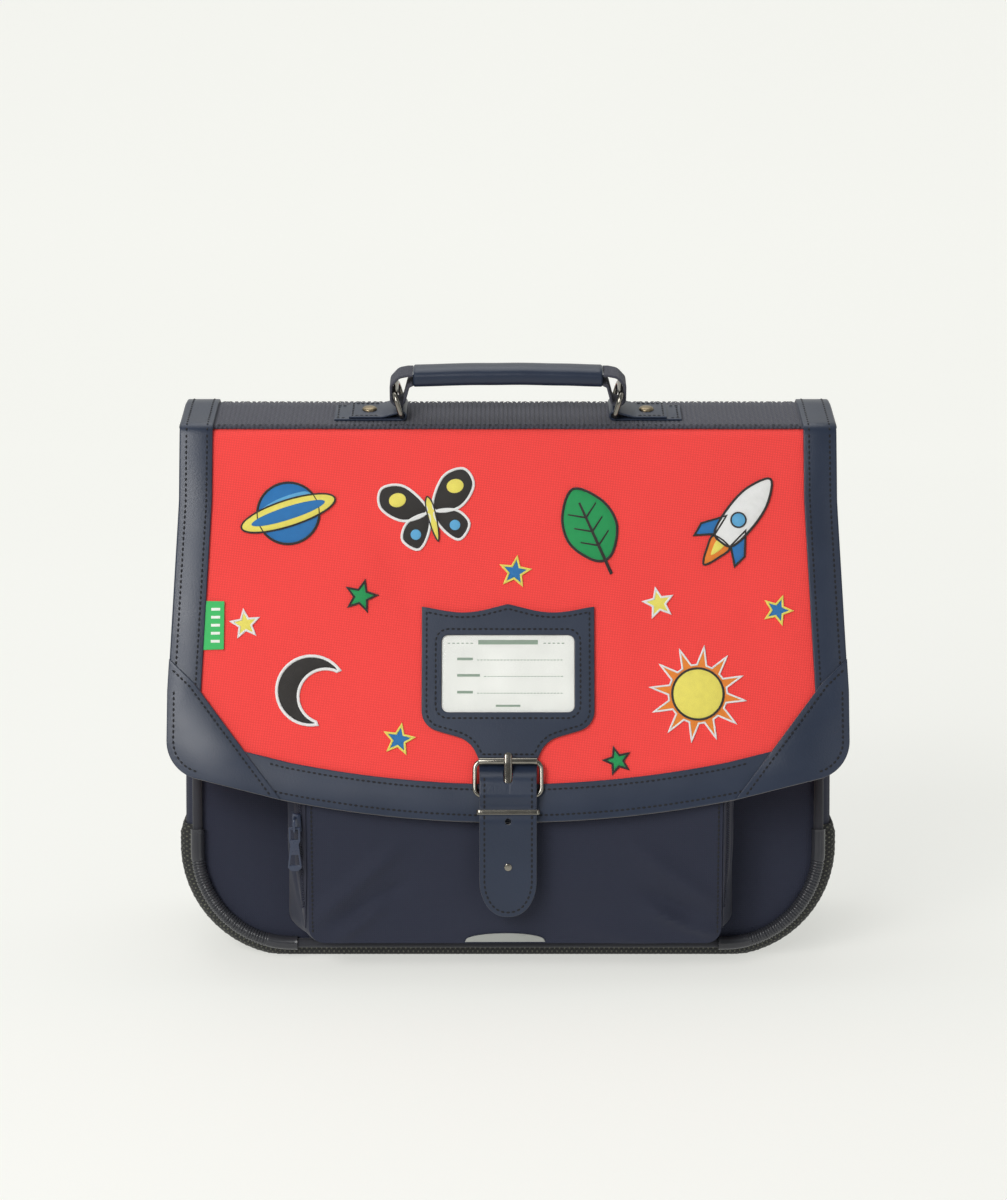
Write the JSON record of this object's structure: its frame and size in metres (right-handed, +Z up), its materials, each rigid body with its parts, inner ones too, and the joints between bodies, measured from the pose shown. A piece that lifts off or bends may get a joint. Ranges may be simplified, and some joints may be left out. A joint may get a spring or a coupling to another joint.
{
  "type": "school ransel",
  "caption": "Stiff school satchel with a fold-over flap, leather edge bands, a name holder running into a buckled strap, a top handle, a zipped front pocket, piped edges and shoulder straps",
  "frame": {"origin": "middle of the flat base, on the surface that the bag stands on", "axes": "+X across the bag to its right seen from the front, +Y from the front to the back panel, +Z up"},
  "size_m": [0.3906, 0.2216, 0.3432],
  "materials": {
    "navy_fabric": "woven, matt",
    "red_fabric": "woven, matt, embroidered",
    "navy_leather": "smooth, soft sheen, stitched",
    "slate_webbing": "ribbed webbing",
    "black_cloth": "coarse cloth with small raised dots",
    "charcoal_piping": "cloth-covered cord",
    "grey_plastic": "moulded, glossy",
    "gunmetal": "dark nickel",
    "old_brass": "antiqued",
    "slate_metal": "painted",
    "zip_tape": "tape with a moulded coil",
    "green_weave": "woven tape",
    "card": "printed with writing lines",
    "film": "clear",
    "silver_reflector": "retroreflective"
  },
  "bodies": {
    "bag": {"back_pad": "navy_fabric", "back_piping": "charcoal_piping", "base_cover": "black_cloth", "body_shell": "navy_fabric", "bottom_band": "navy_leather", "buckle_chape": "navy_leather", "buckle_frame": "gunmetal", "buckle_prong": "gunmetal", "buckle_roller": "gunmetal", "corner_guard_left": "grey_plastic", "corner_guard_right": "grey_plastic", "corner_patch_left": "navy_leather", "corner_patch_right": "navy_leather", "d_ring_left": "gunmetal", "d_ring_right": "gunmetal", "flap_panel": "red_fabric", "front_piping": "charcoal_piping", "front_pocket": "navy_fabric", "handle_grip": "navy_leather", "handle_loop_left": "slate_webbing", "handle_loop_right": "slate_webbing", "handle_tab_left": "navy_leather", "handle_tab_right": "navy_leather", "name_card": "card", "name_holder_strap": "navy_leather", "reflective_tab": "silver_reflector", "rivet_left": "old_brass", "rivet_right": "old_brass", "shoulder_strap_left": "navy_fabric", "shoulder_strap_right": "navy_fabric", "side_band_left": "navy_leather", "side_band_right": "navy_leather", "side_tag": "green_weave", "strap_adjuster_left": "grey_plastic", "strap_adjuster_right": "grey_plastic", "strap_anchor_left": "slate_webbing", "strap_anchor_right": "slate_webbing", "strap_eyelet": "gunmetal", "strap_keeper": "gunmetal", "strap_webbing_left": "slate_webbing", "strap_webbing_right": "slate_webbing", "webbing_strip": "slate_webbing", "window_film": "film", "zip_left": "zip_tape", "zip_right": "zip_tape", "zip_slider": "slate_metal"},
    "pull": {"zip_pull": "slate_metal"}
  },
  "joints": [
    {"name": "zip_pull_swing", "type": "hinge", "parent": "bag", "child": "pull", "pos_m": [-0.12126, -0.0962, 0.0867], "axis": [-1, 0, 0], "range_deg": [0, 110]}
  ]
}
